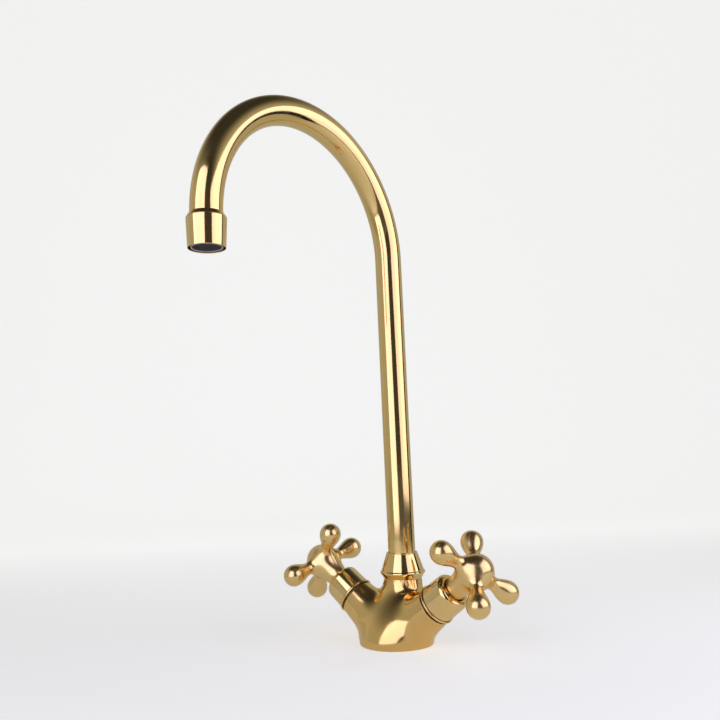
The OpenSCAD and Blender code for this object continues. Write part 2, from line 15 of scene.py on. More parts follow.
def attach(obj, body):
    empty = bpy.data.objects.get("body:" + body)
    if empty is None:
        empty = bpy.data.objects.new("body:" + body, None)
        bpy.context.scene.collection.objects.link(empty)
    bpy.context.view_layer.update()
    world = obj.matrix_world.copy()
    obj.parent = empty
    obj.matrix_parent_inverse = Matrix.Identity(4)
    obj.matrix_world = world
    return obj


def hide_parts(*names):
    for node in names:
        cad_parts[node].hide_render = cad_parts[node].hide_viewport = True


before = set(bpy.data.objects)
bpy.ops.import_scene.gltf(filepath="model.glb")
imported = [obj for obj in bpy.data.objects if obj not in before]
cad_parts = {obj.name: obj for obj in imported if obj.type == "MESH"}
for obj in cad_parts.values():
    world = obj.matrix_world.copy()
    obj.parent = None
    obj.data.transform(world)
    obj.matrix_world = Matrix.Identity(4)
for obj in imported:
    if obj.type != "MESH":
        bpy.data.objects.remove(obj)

bl_info = {
    "name": "Two-Handle Basin Mixer",
    "version": (1, 0, 0),
    "blender": (4, 5, 0),
    "location": "View3D > Sidebar > Basin Mixer",
    "description": "Builds the visible pieces of a brass basin mixer round its packed model",
    "category": "Add Mesh",
}

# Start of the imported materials' names, which leaves the plain names to the new ones
PACKED = "packed_"
# Distance within which points are merged
WELD = 1e-7
# Gap between two pieces that fit each other
FIT = 0.00005
# Rounding of an edge that is only broken
EDGE = 0.0001
# How far a face's centre may lie past the limits of a second finish
NEAR = 0.00001
# Angle between two faces above which their edge is shaded sharp
SHARP = math.radians(32)
# Points of a handle's hub on a quarter turn, and the elevation at which its parts meet
QUARTER = 30
HUB_EDGE = math.radians(40)
# Level directions that the camera looks along and has on its right, and the upright one
AHEAD = np.array([-0.635, 0.772, 0])
RIGHT = np.array([0.772, 0.635, 0])
UP = np.array([0, 0, 1])
# Bearing, distance, toe and width of the right soft box, which its dark side shares
BOX_BEARING, BOX_DISTANCE = math.radians(55), 0.45
BOX_TOE, BOX_WIDTH = math.radians(22), 0.574


# Sizes and colours


def length(name, description, millimetres):
    """A size in metres, given in millimetres, that the sidebar shows as a length."""
    return bpy.props.FloatProperty(
        name=name, description=description, default=millimetres / 1000, min=0.0,
        unit="LENGTH", precision=5,
    )


def angle(name, description, degrees):
    """An angle in radians, given in degrees."""
    return bpy.props.FloatProperty(
        name=name, description=description, default=math.radians(degrees), subtype="ANGLE",
        unit="ROTATION",
    )


def colour(name, description, red, green, blue):
    """A linear colour that the sidebar shows as a swatch."""
    return bpy.props.FloatVectorProperty(
        name=name, description=description, default=(red, green, blue), subtype="COLOR",
        size=3, min=0.0, max=1.0,
    )


class CastingSizes(bpy.types.PropertyGroup):
    """Sizes of the body casting."""

    foot_d: length("Foot diameter", "Diameter of the round foot", 46.5)
    foot_wall_h: length("Foot wall", "Height of the foot's upright wall", 2)
    arm_tilt: angle("Arm tilt", "Angle of each arm from the vertical", 53.9)
    arm_root_h: length("Arm root height", "Height at which the arms' axes cross", 2.9)
    arm_len: length("Arm length", "Distance from that crossing to an arm's mouth", 40.3)
    arm_d: length("Arm diameter", "Diameter of an arm at its mouth", 24.6)
    arm_root_d: length("Arm root diameter", "Diameter of an arm at its root", 32)
    neck_setback: length("Neck setback", "Distance of the neck behind the arms", 10)
    neck_h: length("Neck height", "Height of the shoulder under the nut", 39.8)
    neck_d: length("Neck diameter", "Outer diameter of the neck", 25)
    foot_blend: length("Foot blend", "Width of the blend of foot and arms", 11)
    neck_blend: length("Neck blend", "Width of the blend of neck and arms", 15)
    mouth_gap_h: length("Mouth gap height", "Height of the dark gap under a shroud", 1.5)
    mouth_gap_w: length("Mouth gap depth", "Depth of the dark gap under a shroud", 0.8)
    # Detail and inner sizes in metres
    foot_edge = 0.0003
    # The core is the line of points that the skin is drawn from, lowest above the foot
    core_h = 0.014
    core_setback = 0.004
    core_blend = 0.009
    core_end_blend = 0.0001
    # Thread and bore of the neck, chambers, gasket's groove, tails' and studs' holes
    spigot_d = 0.022
    spigot_h = 0.0077
    socket_d = 0.0184
    socket_depth = 0.0158
    valve_bore_d = 0.0166
    chamber_depth = 0.0173
    ring_seat_d = 0.01946
    ring_seat_h = 0.0015
    gasket_d = 0.042
    gasket_w = 0.0028
    gasket_t = 0.002
    tail_x = 0.0097
    tail_d = 0.0092
    tail_depth = 0.009
    tail_pitch = 0.001
    tail_way_d = 0.0064
    stud_y = 0.012
    stud_d = 0.007
    stud_depth = 0.009
    stud_pitch = 0.00125
    stud_end_d = 0.006
    stud_end_depth = 0.01


class SpoutSizes(bpy.types.PropertyGroup):
    """Sizes of the swan-neck spout, its nut and its aerator."""

    tube_d: length("Tube diameter", "Outer diameter of the tube", 18)
    tube_wall: length("Tube wall", "Wall of the tube", 1)
    tube_foot_h: length("Tube foot", "Height of the tube's lower end", 49.3)
    riser_h: length("Riser top", "Height at which the bend begins", 254)
    bend_r: length("Bend radius", "Centreline radius of the half-circle bend", 80)
    nut_h: length("Nut height", "Height of the conical nut", 16.4)
    nut_ridge_d: length("Nut ridge diameter", "Diameter of the nut's ridge", 30)
    nut_ridge_h: length("Nut ridge height", "Height of the ridge above the nut's foot", 3.7)
    nut_foot_d: length("Nut foot diameter", "Diameter of the nut's lower face", 25.4)
    nut_top_d: length("Nut top diameter", "Diameter of the nut's top", 20.8)
    collar_top_h: length("Collar top", "Height of the collar's upper end", 253.4)
    collar_cone_h: length("Collar cone", "Height of the collar's cone", 2.8)
    aerator_d: length("Aerator diameter", "Diameter of the housing at its top", 22)
    aerator_h: length("Aerator height", "Height of the housing", 16.6)
    outlet_d: length("Outlet diameter", "Diameter of the housing's lower end", 20.5)
    mesh_pitch: length("Mesh pitch", "Distance between two wires of the mesh", 0.62)
    wire_d: length("Wire diameter", "Diameter of the mesh's wires", 0.15)
    # Detail and inner sizes in metres
    nut_ridge_w = 0.0012
    nut_ridge_out = 0.0009
    nut_foot_h = 0.0005
    nut_land_h = 0.0008
    nut_edge = 0.0003
    collar_lip = 0.00025
    outlet_edge = 0.0003
    outlet_lip_w = 0.00045
    nut_bore_d = 0.0186
    nut_room_d = 0.0216
    nut_room_h = 0.0105
    collar_thread_d = 0.019
    collar_thread_h = 0.0056
    collar_bore_d = 0.0156
    tube_seat = 0.0011
    shelf_drop = 0.0082
    shelf_t = 0.001
    insert_d = 0.0174
    insert_rim_w = 0.0008
    insert_inset = 0.0003
    insert_flange_t = 0.001
    mesh_inset = 0.0003
    mesh_t = 0.0003


class TrimSizes(bpy.types.PropertyGroup):
    """Sizes of the shrouds and the cross handles."""

    shroud_h: length("Shroud height", "Height of a shroud", 17.5)
    shroud_bead_d: length("Bead diameter", "Diameter of the bead at its lower rim", 26.2)
    bead_h: length("Bead height", "Height of the bead", 1.3)
    shroud_d: length("Shroud diameter", "Diameter above the bead", 24.6)
    shroud_taper: length("Shroud taper", "Inward lean of the wall over its height", 0.4)
    shoulder_r: length("Shoulder radius", "Rounding of the shroud's shoulder", 3.4)
    shroud_mouth_d: length("Mouth diameter", "Diameter of the handle's opening", 15.4)
    lobe_h: length("Lobe height", "Height of the lobes' plane above the mouth", 36.2)
    lobe_reach: length("Lobe reach", "Distance of a lobe's ball from the axis", 26.1)
    lobe_d: length("Lobe diameter", "Diameter of a lobe's round end", 14.4)
    stem_d: length("Stem diameter", "Diameter of a lobe's thin stem", 7.2)
    stem_waist: length("Stem waist", "Distance of the thin stem from the axis", 12)
    hub_d: length("Hub diameter", "Diameter of the hub between the lobes", 22)
    dome_h: length("Dome height", "Height of the dome above the lobes' plane", 12.4)
    fillet: length("Lobe fillet", "Width of the blend of lobes and hub", 9)
    handle_neck_d: length("Neck diameter", "Diameter of the neck in the opening", 14.4)
    handle_neck_top: length("Neck top", "Height at which the neck begins to swell", 19)
    handle_foot: length("Handle foot", "Height of the neck's lower end", 15.3)
    screw_angle: angle("Screw angle", "Angle of that hole round the arm", 60)
    left_rest: angle("Left rest angle", "Angle of the left handle's lobes at rest", 18.2)
    right_rest: angle("Right rest angle", "Angle of the right handle's lobes at rest", 48.7)
    # Detail and inner sizes in metres
    bead_edge = 0.0005
    bead_groove_h = 0.0004
    bead_groove_w = 0.00025
    shroud_bevel_h = 0.0004
    handle_edge = 0.0004
    screw_d = 0.0033
    screw_h = 0.0204
    shroud_roof_t = 0.0019
    shroud_room_d = 0.0184
    shroud_thread_d = 0.0169
    shroud_thread_h = 0.0115
    shroud_cavity_d = 0.0224
    shroud_cavity_h = 0.0065
    socket_d = 0.0079
    socket_tooth = 0.0004
    socket_top = 0.0243


class Finishes(bpy.types.PropertyGroup):
    """Colours of the mixer's materials and of the studio."""

    brass: colour("Polished brass", "Colour of the polished brass", 0.90, 0.632, 0.25)
    brass_pale: colour("Pale brass", "Its paler drifts", 0.92, 0.672, 0.29)
    drawn: colour("Drawn brass", "Colour of the drawn tube", 0.885, 0.622, 0.232)
    drawn_pale: colour("Pale drawn brass", "Its paler drifts", 0.905, 0.656, 0.27)
    cast: colour("Cast brass", "Colour of the casting", 0.92, 0.635, 0.235)
    cast_warm: colour("Warm cast brass", "Its warmer drifts", 0.85, 0.555, 0.185)
    cut_brass: colour("Machined brass", "Colour of the machined brass", 0.70, 0.53, 0.27)
    rubber: colour("Rubber", "Colour of the rubber rings", 0.022, 0.022, 0.024)
    ceramic: colour("Ceramic", "Colour of the ceramic discs", 0.86, 0.85, 0.80)
    acetal: colour("Acetal", "Colour of the slip washers", 0.80, 0.80, 0.77)
    plastic: colour("Grey plastic", "Colour of the aerator's insert", 0.52, 0.54, 0.53)
    steel: colour("Stainless steel", "Colour of the screws and clips", 0.58, 0.58, 0.59)
    wire: colour("Mesh wire", "Colour of the aerator's mesh", 0.13, 0.13, 0.125)
    floor: colour("Floor", "Colour of the floor and the backdrop", 0.72, 0.742, 0.61)


# Shapes shared by the pieces


def mix(a, b, share):
    """The value a share of the way from a to b."""
    return a + (b - a) * share


def ease(share):
    """0 to 1 along a curve that starts and ends level: three squares less two cubes."""
    share = np.clip(share, 0, 1)
    return share * share * (3 - 2 * share)


def closeness(a, b, width):
    """A sixth of the width times the cube of how close two gaps are, as a share of it."""
    return np.maximum(width - np.abs(a - b), 0) ** 3 / (6 * width**2)


def unit(vectors):
    """Vectors divided by their length."""
    return vectors / np.maximum(np.linalg.norm(vectors, axis=-1, keepdims=True), 1e-12)


def turning(first, last, share, between):
    """Vectors that turn evenly from the first to the last, which have an angle between them."""
    return (np.sin((1 - share) * between) * first + np.sin(share * between) * last
            ) / np.sin(between)


def circle(count):
    """Angles of evenly spaced points round a circle."""
    return 2 * math.pi * np.arange(count) / count


def polar(radius, turn, height):
    """Points at radii, angles round the Z axis and heights."""
    return np.stack(np.broadcast_arrays(radius * np.cos(turn), radius * np.sin(turn), height),
                    -1)


def turned(outline, turn):
    """Grid of an outline of radii and heights carried to angles round the Z axis."""
    return polar(outline[:, 0, None], turn, outline[:, 1, None])


def spun(points, by):
    """Points turned round the Z axis by an angle."""
    x, y, z = np.moveaxis(points, -1, 0)
    return np.stack([x * math.cos(by) - y * math.sin(by),
                     x * math.sin(by) + y * math.cos(by), z], -1)


def march(gap, start, ray, steps=60):
    """Points on a skin: each starts inside and moves along its ray by the gap left to it."""
    start, ray = np.broadcast_arrays(start, ray)
    far = np.zeros(start.shape[:-1])
    for _ in range(steps):
        far = far - gap(start + far[..., None] * ray)
    return start + far[..., None] * ray


def rounded(corners, closed=True, steps=6, guard=0.00012):
    """Outline of (radius, height, rounding) corners, each turned into an arc of its rounding.

    The arc's centre lies on the corner's bisector at rounding / sin(half the corner), and
    its ends at rounding / tan(half the corner) along the two sides. A guard point beside
    each arc keeps the flat sides flat in the shading.
    """
    corners = np.array(corners, float)
    point, size = corners[:, :2], corners[:, 2]
    back = unit(np.roll(point, 1, 0) - point)
    on = unit(np.roll(point, -1, 0) - point)
    half = 0.5 * np.arccos(np.clip((back * on).sum(1), -1, 1))
    share = np.linspace(0, 1, steps + 1)[:, None]
    outline = []
    for i, here in enumerate(point):
        if size[i] == 0 or (not closed and i in (0, len(point) - 1)):
            outline.append(here[None])
            continue
        reach = size[i] / math.tan(half[i])
        centre = here + unit(back[i] + on[i]) * size[i] / math.sin(half[i])
        first, last = here + back[i] * reach - centre, here + on[i] * reach - centre
        outline.append(here + back[i] * (reach + guard))
        outline.append(centre + turning(first, last, share, math.pi - 2 * half[i]))
        outline.append(here + on[i] * (reach + guard))
    return np.vstack(outline)


def grid_quads(rows, columns, loop_rows, loop_columns):
    """Corner numbers of the quads between neighbouring points of a grid."""
    index = np.arange(rows * columns).reshape(rows, columns)
    if loop_rows:
        index = np.vstack([index, index[:1]])
    if loop_columns:
        index = np.hstack([index, index[:, :1]])
    return np.stack([index[:-1, :-1], index[1:, :-1], index[1:, 1:], index[:-1, 1:]],
                    -1).reshape(-1, 4)


def grid_mesh(name, grid, loop_rows=False, loop_columns=False):
    """Mesh of a grid of points and its quads."""
    data = bpy.data.meshes.new(name)
    quads = grid_quads(*grid.shape[:2], loop_rows, loop_columns)
    data.from_pydata(grid.reshape(-1, 3), [], quads)
    return data


def add_grid(mesh, grid, loop_rows=False):
    """Adds a grid of points, whose columns close into a ring, to an edit mesh."""
    part = grid_mesh("grid", grid, loop_rows, True)
    mesh.from_mesh(part)
    bpy.data.meshes.remove(part)


def welded(name, mesh):
    """Mesh of an edit mesh, with its doubles merged and its faces turned outwards."""
    bmesh.ops.remove_doubles(mesh, verts=mesh.verts, dist=WELD)
    bmesh.ops.dissolve_degenerate(mesh, edges=mesh.edges, dist=WELD / 10)
    bmesh.ops.recalc_face_normals(mesh, faces=mesh.faces)
    data = bpy.data.meshes.new(name)
    mesh.to_mesh(data)
    mesh.free()
    return data


def add_object(name, data):
    """Object of a mesh, light or camera, in the scene."""
    thing = bpy.data.objects.new(name, data)
    bpy.context.scene.collection.objects.link(thing)
    return thing


def make_piece(name, mesh, finish, body, nodes, sharp=SHARP):
    """Piece of an edit mesh, welded, closed and smooth, in place of its CAD nodes."""
    data = welded(name, mesh)
    data.shade_smooth()
    data.set_sharp_from_angle(angle=sharp)
    data.materials.append(bpy.data.materials[finish])
    piece = add_object(name, data)
    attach(piece, body)
    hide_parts(*nodes)
    return piece


def turned_piece(name, outline, place, body, node, finish="polished_brass", count=192):
    """Piece of a closed outline turned round an axis and moved to its place."""
    mesh = bmesh.new()
    add_grid(mesh, place(turned(outline, circle(count))), loop_rows=True)
    return make_piece(name, mesh, finish, body, [node])


def on_arm(side):
    """Mapping from an arm's own frame, origin at its mouth and Z out of it, to the mixer's."""
    s = bpy.context.scene.mixer_casting
    sine, cosine = math.sin(s.arm_tilt), math.cos(s.arm_tilt)
    mouth = np.array([s.arm_len * sine, 0, s.arm_root_h + s.arm_len * cosine])

    def place(points):
        x, y, z = np.moveaxis(points, -1, 0)
        moved = np.stack([x * cosine + z * sine, y, z * cosine - x * sine], -1) + mouth
        return moved * np.array([side, 1, 1])

    return place


def from_arm(side, points):
    """Radius round an arm's axis and height over its mouth of points in the mixer's frame."""
    s = bpy.context.scene.mixer_casting
    sine, cosine = math.sin(s.arm_tilt), math.cos(s.arm_tilt)
    x, y, z = np.moveaxis(points - s.arm_root_h * UP, -1, 0)
    return (np.hypot(side * x * cosine - z * sine, y),
            side * x * sine + z * cosine - s.arm_len)


def at(y):
    """Mapping that moves points along Y, to the neck's axis or to the nozzle's."""
    return lambda points: points + np.array([0, y, 0])


def face_centres(piece):
    """Centres and normals of a piece's faces."""
    found = []
    for key in ("center", "normal"):
        values = np.zeros(3 * len(piece.data.polygons))
        piece.data.polygons.foreach_get(key, values)
        found.append(values.reshape(-1, 3))
    return found


def second_finish(piece, finish, chosen):
    """Gives the chosen faces of a piece another finish than its own."""
    piece.data.materials.append(bpy.data.materials[finish])
    index = np.zeros(len(piece.data.polygons), np.int32)
    piece.data.polygons.foreach_get("material_index", index)
    index[chosen] = len(piece.data.materials) - 1
    piece.data.polygons.foreach_set("material_index", index)


# Finishes


def node_maker(tree):
    """Two functions for a node tree: one adds a node, one fills inputs by link or value."""

    def fill(node, inputs):
        for key, value in inputs.items():
            if isinstance(value, bpy.types.NodeSocket):
                tree.links.new(value, node.inputs[key])
            else:
                node.inputs[key].default_value = value

    def add(kind, inputs=None, **settings):
        node = tree.nodes.new(kind)
        for key, value in settings.items():
            setattr(node, key, value)
        fill(node, inputs or {})
        return node

    return add, fill


def grain(add, scale, detail=2.0):
    """Noise in the object's own coordinates, with features about 1 / scale metres across."""
    where = add("ShaderNodeTexCoord").outputs["Object"]
    return add("ShaderNodeTexNoise",
               {"Vector": where, "Scale": scale, "Detail": detail}).outputs["Fac"]


def spread(add, value, low, high, start=0.3, end=0.7, **settings):
    """A value from start to end laid out from low to high."""
    return add("ShaderNodeMapRange", {"Value": value, "From Min": start, "From Max": end,
                                      "To Min": low, "To Max": high},
               **settings).outputs["Result"]


def tint(add, value, first, second):
    """Colour that goes from the first to the second with a value from 0.3 to 0.7."""
    ramp = add("ShaderNodeValToRGB", {"Fac": value})
    for stop, position, rgb in zip(ramp.color_ramp.elements, (0.3, 0.7), (first, second)):
        stop.position, stop.color = position, (*rgb, 1)
    return ramp.outputs["Color"]


def bumped(add, scale, detail, height, **normal):
    """Surface direction over bumps of a grain, on top of another one's if that is given."""
    return add("ShaderNodeBump", {"Height": grain(add, scale, detail), "Distance": height,
                                  "Strength": 1.0, **normal}).outputs["Normal"]


def shade(rgb, share):
    """A colour made darker or lighter by a share."""
    return tuple(min(1.0, channel * share) for channel in rgb)


def new_finish(name, build):
    """Material of a Principled shader with the inputs that build makes with add."""
    material = bpy.data.materials.new(name)
    material.use_nodes = True
    add, fill = node_maker(material.node_tree)
    fill(material.node_tree.nodes["Principled BSDF"], build(add))
    return material


def metal_finish(name, first, second, scale, rough, wave, wave_scale, fine=0.0):
    """Polished or machined metal: drifting colour and gloss over soft polishing waves.

    rough is the range of roughness, wave the height of the waves in metres and fine the
    height of the finest scratches.
    """

    def build(add):
        normal = bumped(add, wave_scale, 1, wave)
        if fine:
            normal = bumped(add, 5200, 3, fine, Normal=normal)
        return {"Base Color": tint(add, grain(add, scale), first, second), "Metallic": 1.0,
                "Roughness": spread(add, grain(add, 240, 4), *rough), "Normal": normal}

    new_finish(name, build)


def solid_finish(name, first, drift, rough, scale, height, specular=0.5):
    """Rubber, plastic or ceramic: slightly drifting colour, gloss and a fine surface."""
    new_finish(name, lambda add: {
        "Base Color": tint(add, grain(add, 120), first, shade(first, drift)),
        "Specular IOR Level": specular,
        "Roughness": spread(add, grain(add, 300, 3), *rough),
        "Normal": bumped(add, scale, 4, height)})


def make_finishes(c):
    """Makes the materials. Four kinds of brass are for the new pieces and name no slot."""
    metal_finish("polished_brass", c.brass, c.brass_pale, 30, (0.07, 0.11), 0.00001, 60, 1e-7)
    metal_finish("drawn_brass", c.drawn, c.drawn_pale, 14, (0.09, 0.13), 0.000004, 40, 1e-7)
    metal_finish("cast_brass", c.cast, c.cast_warm, 26, (0.11, 0.18), 0.00007, 45, 2e-7)
    metal_finish("handled_brass", c.brass, c.brass_pale, 40, (0.2, 0.26), 0.00003, 60)
    # Painted shade: a dark brown brass, a quarter and an eighth of the polished colour, for the gap
    # under each shroud and for the shrouds' inside, opening and groove, where shade falls
    metal_finish("tarnished_brass", shade(c.brass, 0.26), shade(c.brass, 0.13), 600,
                 (0.4, 0.6), 0.00001, 900)
    metal_finish("machined_brass", c.cut_brass, shade(c.cut_brass, 0.88), 90, (0.22, 0.38),
                 0.000006, 900, 1e-6)
    metal_finish("stainless_steel", c.steel, shade(c.steel, 0.9), 150, (0.2, 0.32),
                 0.000003, 1200, 1e-6)
    metal_finish("steel_mesh", c.wire, shade(c.wire, 0.75), 400, (0.3, 0.45), 0.000002, 3000)
    solid_finish("black_rubber", c.rubber, 1.7, (0.55, 0.75), 2600, 0.00001, 0.35)
    solid_finish("white_ceramic", c.ceramic, 0.95, (0.12, 0.25), 4000, 0.000001)
    solid_finish("white_acetal", c.acetal, 0.95, (0.38, 0.5), 3000, 0.000004)
    solid_finish("grey_plastic", c.plastic, 0.92, (0.3, 0.42), 3000, 0.000003)


# The body casting


def arm_gap(s, x, y, z):
    """Gap to the arm on the +X side.

    The distance from the arm's axis, round its root, less a radius that falls evenly from
    the root to the mouth.
    """
    up = z - s.arm_root_h
    along = x * math.sin(s.arm_tilt) + up * math.cos(s.arm_tilt)
    across = x * math.cos(s.arm_tilt) - up * math.sin(s.arm_tilt)
    radius = mix(s.arm_root_d, s.arm_d, np.maximum(along, 0) / s.arm_len) / 2
    return np.sqrt(across**2 + y**2 + np.minimum(along, 0) ** 2) - radius


def bell_gap(s, x, y, z):
    """Gap to the bell: circles that ease in diameter and backwards from foot to neck."""
    share = ease((z - s.foot_wall_h) / (s.neck_h - s.foot_wall_h))
    return np.hypot(x, y - s.neck_setback * share) - mix(s.foot_d, s.neck_d, share) / 2


def soft_min(a, b, width):
    """Smaller of two gaps, less their closeness, which blends them softly."""
    return np.minimum(a, b) - closeness(a, b, width)


def casting_gap(s, points, past=0.001):
    """Gap to the casting's skin: arms and bell, blended softly, run on past both ends."""
    x, y, z = np.moveaxis(points, -1, 0)
    arms = soft_min(arm_gap(s, x, y, z), arm_gap(s, -x, y, z), s.neck_blend)
    width = mix(s.foot_blend, s.neck_blend, np.clip(z / s.neck_h, 0, 1))
    skin = soft_min(arms, bell_gap(s, x, y, z), width)
    return np.maximum(np.maximum(skin, -past - z), z - s.neck_h - past)


def level_outward(s, points, step=1e-5):
    """Level directions in which the gap to the casting grows fastest."""
    slope = [casting_gap(s, points + aside) - casting_gap(s, points - aside)
             for aside in step * np.eye(3)[:2]]
    return unit(np.stack([*slope, 0 * slope[0]], -1))


def casting_rings(s, rings=181, points=300, short=math.radians(3)):
    """Cross-sections of the skin in planes that fan out from a line above it.

    The line runs parallel to Y where the two mouths' planes meet. Each ring is drawn by
    rays from a core point on the arm's axis, which stays above the foot between the arms.
    The outer rings stop short of the mouths' planes.
    """
    sine, cosine = math.sin(s.arm_tilt), math.cos(s.arm_tilt)
    limit = math.pi / 2 - s.arm_tilt
    fan_h = s.arm_root_h + s.arm_len * cosine + s.arm_len * sine * math.tan(s.arm_tilt)
    fan = np.linspace(-1, 1, rings) * (limit - short)
    out, slope = np.abs(fan) / limit, np.tan(np.abs(fan))
    along = (fan_h - s.arm_root_h) * slope / (sine + cosine * slope)
    width = mix(s.core_blend, s.core_end_blend, out)
    height = -soft_min(-s.arm_root_h - along * cosine, -s.core_h, width)
    core = np.stack([(fan_h - height) * np.tan(fan), mix(s.core_setback, 0, out), height], -1)
    turn, fan = circle(points), fan[:, None]
    ray = np.stack([-np.sin(fan) * np.sin(turn), np.cos(turn) + 0 * fan,
                    np.cos(fan) * np.sin(turn)], -1)
    return march(lambda p: casting_gap(s, p), core[:, None], ray)


def mouth_rings(s, side, points=300):
    """Rings from the edge of an arm's mouth down its chamber to the chamber's floor."""
    gap, seat, bore = s.mouth_gap_h, s.ring_seat_d / 2, s.valve_bore_d / 2
    step_r = s.arm_d / 2 - s.mouth_gap_w
    edge_r = mix(s.arm_root_d, s.arm_d, (s.arm_len - gap) / s.arm_len) / 2
    outline = rounded([
        (edge_r + EDGE, -2 * gap, 0), (edge_r, -gap, 1.8 * EDGE), (step_r, -gap, EDGE),
        (step_r, 0, EDGE), (seat, 0, 0), (seat, -s.ring_seat_h, 0), (bore, -s.ring_seat_h, 0),
        (bore, -s.chamber_depth, 0), (0, -s.chamber_depth, 0)], closed=False, steps=4)[1:]
    return on_arm(side)(turned(outline, circle(points) + math.pi / 2))


def threaded_hole(x, y, diameter, depth, pitch, end_r, end_h, points=48, cut=0.15):
    """Blind hole with an inner thread, in ten rows a turn, and a plain end.

    The wall's radius grows by a triangle wave of (height / pitch - turn), which is a helix,
    and fades out at both ends so that the hole's rim stays a circle.
    """
    turn = circle(points)
    height = np.linspace(0, depth, round(10 * depth / pitch))[:, None]
    wave = np.abs((height / pitch - turn / (2 * math.pi)) % 1 - 0.5) * 2
    fade = np.clip(np.minimum(height, depth - height) / pitch, 0, 1)
    wall = polar(diameter / 2 + cut * pitch * fade * (wave - 1), turn, height)
    end = turned(np.array([(end_r, depth), (end_r, end_h), (0, end_h)]), turn)
    return np.concatenate([wall, end]) + np.array([x, y, 0])


def cut_loop(mesh, height, up, centre_y):
    """Cuts an edit mesh level; returns the cut's points, sorted round, and their angles."""
    cut = bmesh.ops.bisect_plane(
        mesh, geom=mesh.verts[:] + mesh.edges[:] + mesh.faces[:], dist=WELD,
        plane_co=(0, 0, height), plane_no=(0, 0, 1 if up else -1), clear_outer=True)
    loop = np.array([v.co for v in cut["geom_cut"] if isinstance(v, bmesh.types.BMVert)])
    turn = np.arctan2(loop[:, 1] - centre_y, loop[:, 0])
    order = np.argsort(turn)
    return loop[order], turn[order]


class MIXER_OT_casting(bpy.types.Operator):
    """Body casting: foot, arms, neck, chambers and underside in one closed skin"""

    bl_idname = "mixer.add_casting"
    bl_label = "Body Casting"

    def execute(self, context):
        s = context.scene.mixer_casting
        mesh = bmesh.new()
        left, right = mouth_rings(s, -1)[::-1], mouth_rings(s, 1)
        add_grid(mesh, np.concatenate([left, casting_rings(s), right]))

        top, turn = cut_loop(mesh, s.neck_h, True, s.neck_setback)
        spigot_r, socket_r = s.spigot_d / 2, s.socket_d / 2
        spigot_top, socket_floor = s.neck_h + s.spigot_h, s.neck_h - s.socket_depth
        neck = np.array([(spigot_r, s.neck_h), (spigot_r, spigot_top), (socket_r, spigot_top),
                         (socket_r, socket_floor), (0, socket_floor)])
        add_grid(mesh, np.concatenate([top[None], at(s.neck_setback)(turned(neck, turn))]))

        foot, turn = cut_loop(mesh, s.foot_edge, False, 0)
        bend = np.linspace(0, math.pi / 2, 5)[:, None, None]
        edge = (foot - level_outward(s, foot) * s.foot_edge * (1 - np.cos(bend))
                - s.foot_edge * UP * np.sin(bend))
        groove_r, inner_r = s.gasket_d / 2, s.gasket_d / 2 - s.gasket_w
        groove = np.array([(groove_r, 0), (groove_r, s.gasket_t), (inner_r, s.gasket_t),
                           (inner_r, 0)])
        add_grid(mesh, np.concatenate([edge, turned(groove, turn)]))

        tail_end = s.arm_root_h + s.tail_x / math.tan(s.arm_tilt)
        for side in (-1, 1):
            add_grid(mesh, threaded_hole(side * s.tail_x, 0, s.tail_d, s.tail_depth,
                                         s.tail_pitch, s.tail_way_d / 2, tail_end))
            add_grid(mesh, threaded_hole(0, side * s.stud_y, s.stud_d, s.stud_depth,
                                         s.stud_pitch, s.stud_end_d / 2, s.stud_end_depth))
        bmesh.ops.remove_doubles(mesh, verts=mesh.verts, dist=WELD)
        open_edges = [e for e in mesh.edges if e.is_boundary]
        bmesh.ops.triangle_fill(mesh, edges=open_edges, use_beauty=True, normal=(0, 0, -1))

        piece = make_piece("casting", mesh, "cast_brass", "mixer_body", ["body"])
        centre, normal = face_centres(piece)
        second_finish(piece, "machined_brass", (centre[:, 2] < NEAR) & (normal[:, 2] < -0.9))
        # Painted shade in the gap under each shroud: its faces get the dark brown brass
        for side in (-1, 1):
            radius, height = from_arm(side, centre)
            in_gap = np.abs(height + s.mouth_gap_h / 2) < s.mouth_gap_h / 2 + NEAR
            second_finish(piece, "tarnished_brass", in_gap & (radius < s.arm_d / 2 - EDGE))
        return {"FINISHED"}


# The spout, its nut and its aerator


def tube_rings(s, radius, setback, count=96):
    """Circles carried up the riser, over the half-circle bend and down to the nozzle."""
    end_h = s.collar_top_h - s.collar_cone_h - s.tube_seat
    rise = s.tube_foot_h + np.array([0, 0.0005, 0.01, 0.5, 0.97]) * (s.riser_h - s.tube_foot_h)
    bend = np.linspace(0, math.pi, 241)
    fall = s.riser_h - np.array([0.05, 0.5, 1]) * (s.riser_h - end_h)
    lean = np.concatenate([0 * rise, bend, math.pi + 0 * fall])[:, None]
    height = np.concatenate([rise, s.riser_h + s.bend_r * np.sin(bend), fall])[:, None]
    aside, out = radius * np.cos(circle(count)), radius * np.sin(circle(count))
    middle = setback - s.bend_r * (1 - np.cos(lean))
    return np.stack([aside + 0 * lean, middle + np.cos(lean) * out, height + np.sin(lean) * out],
                    -1)


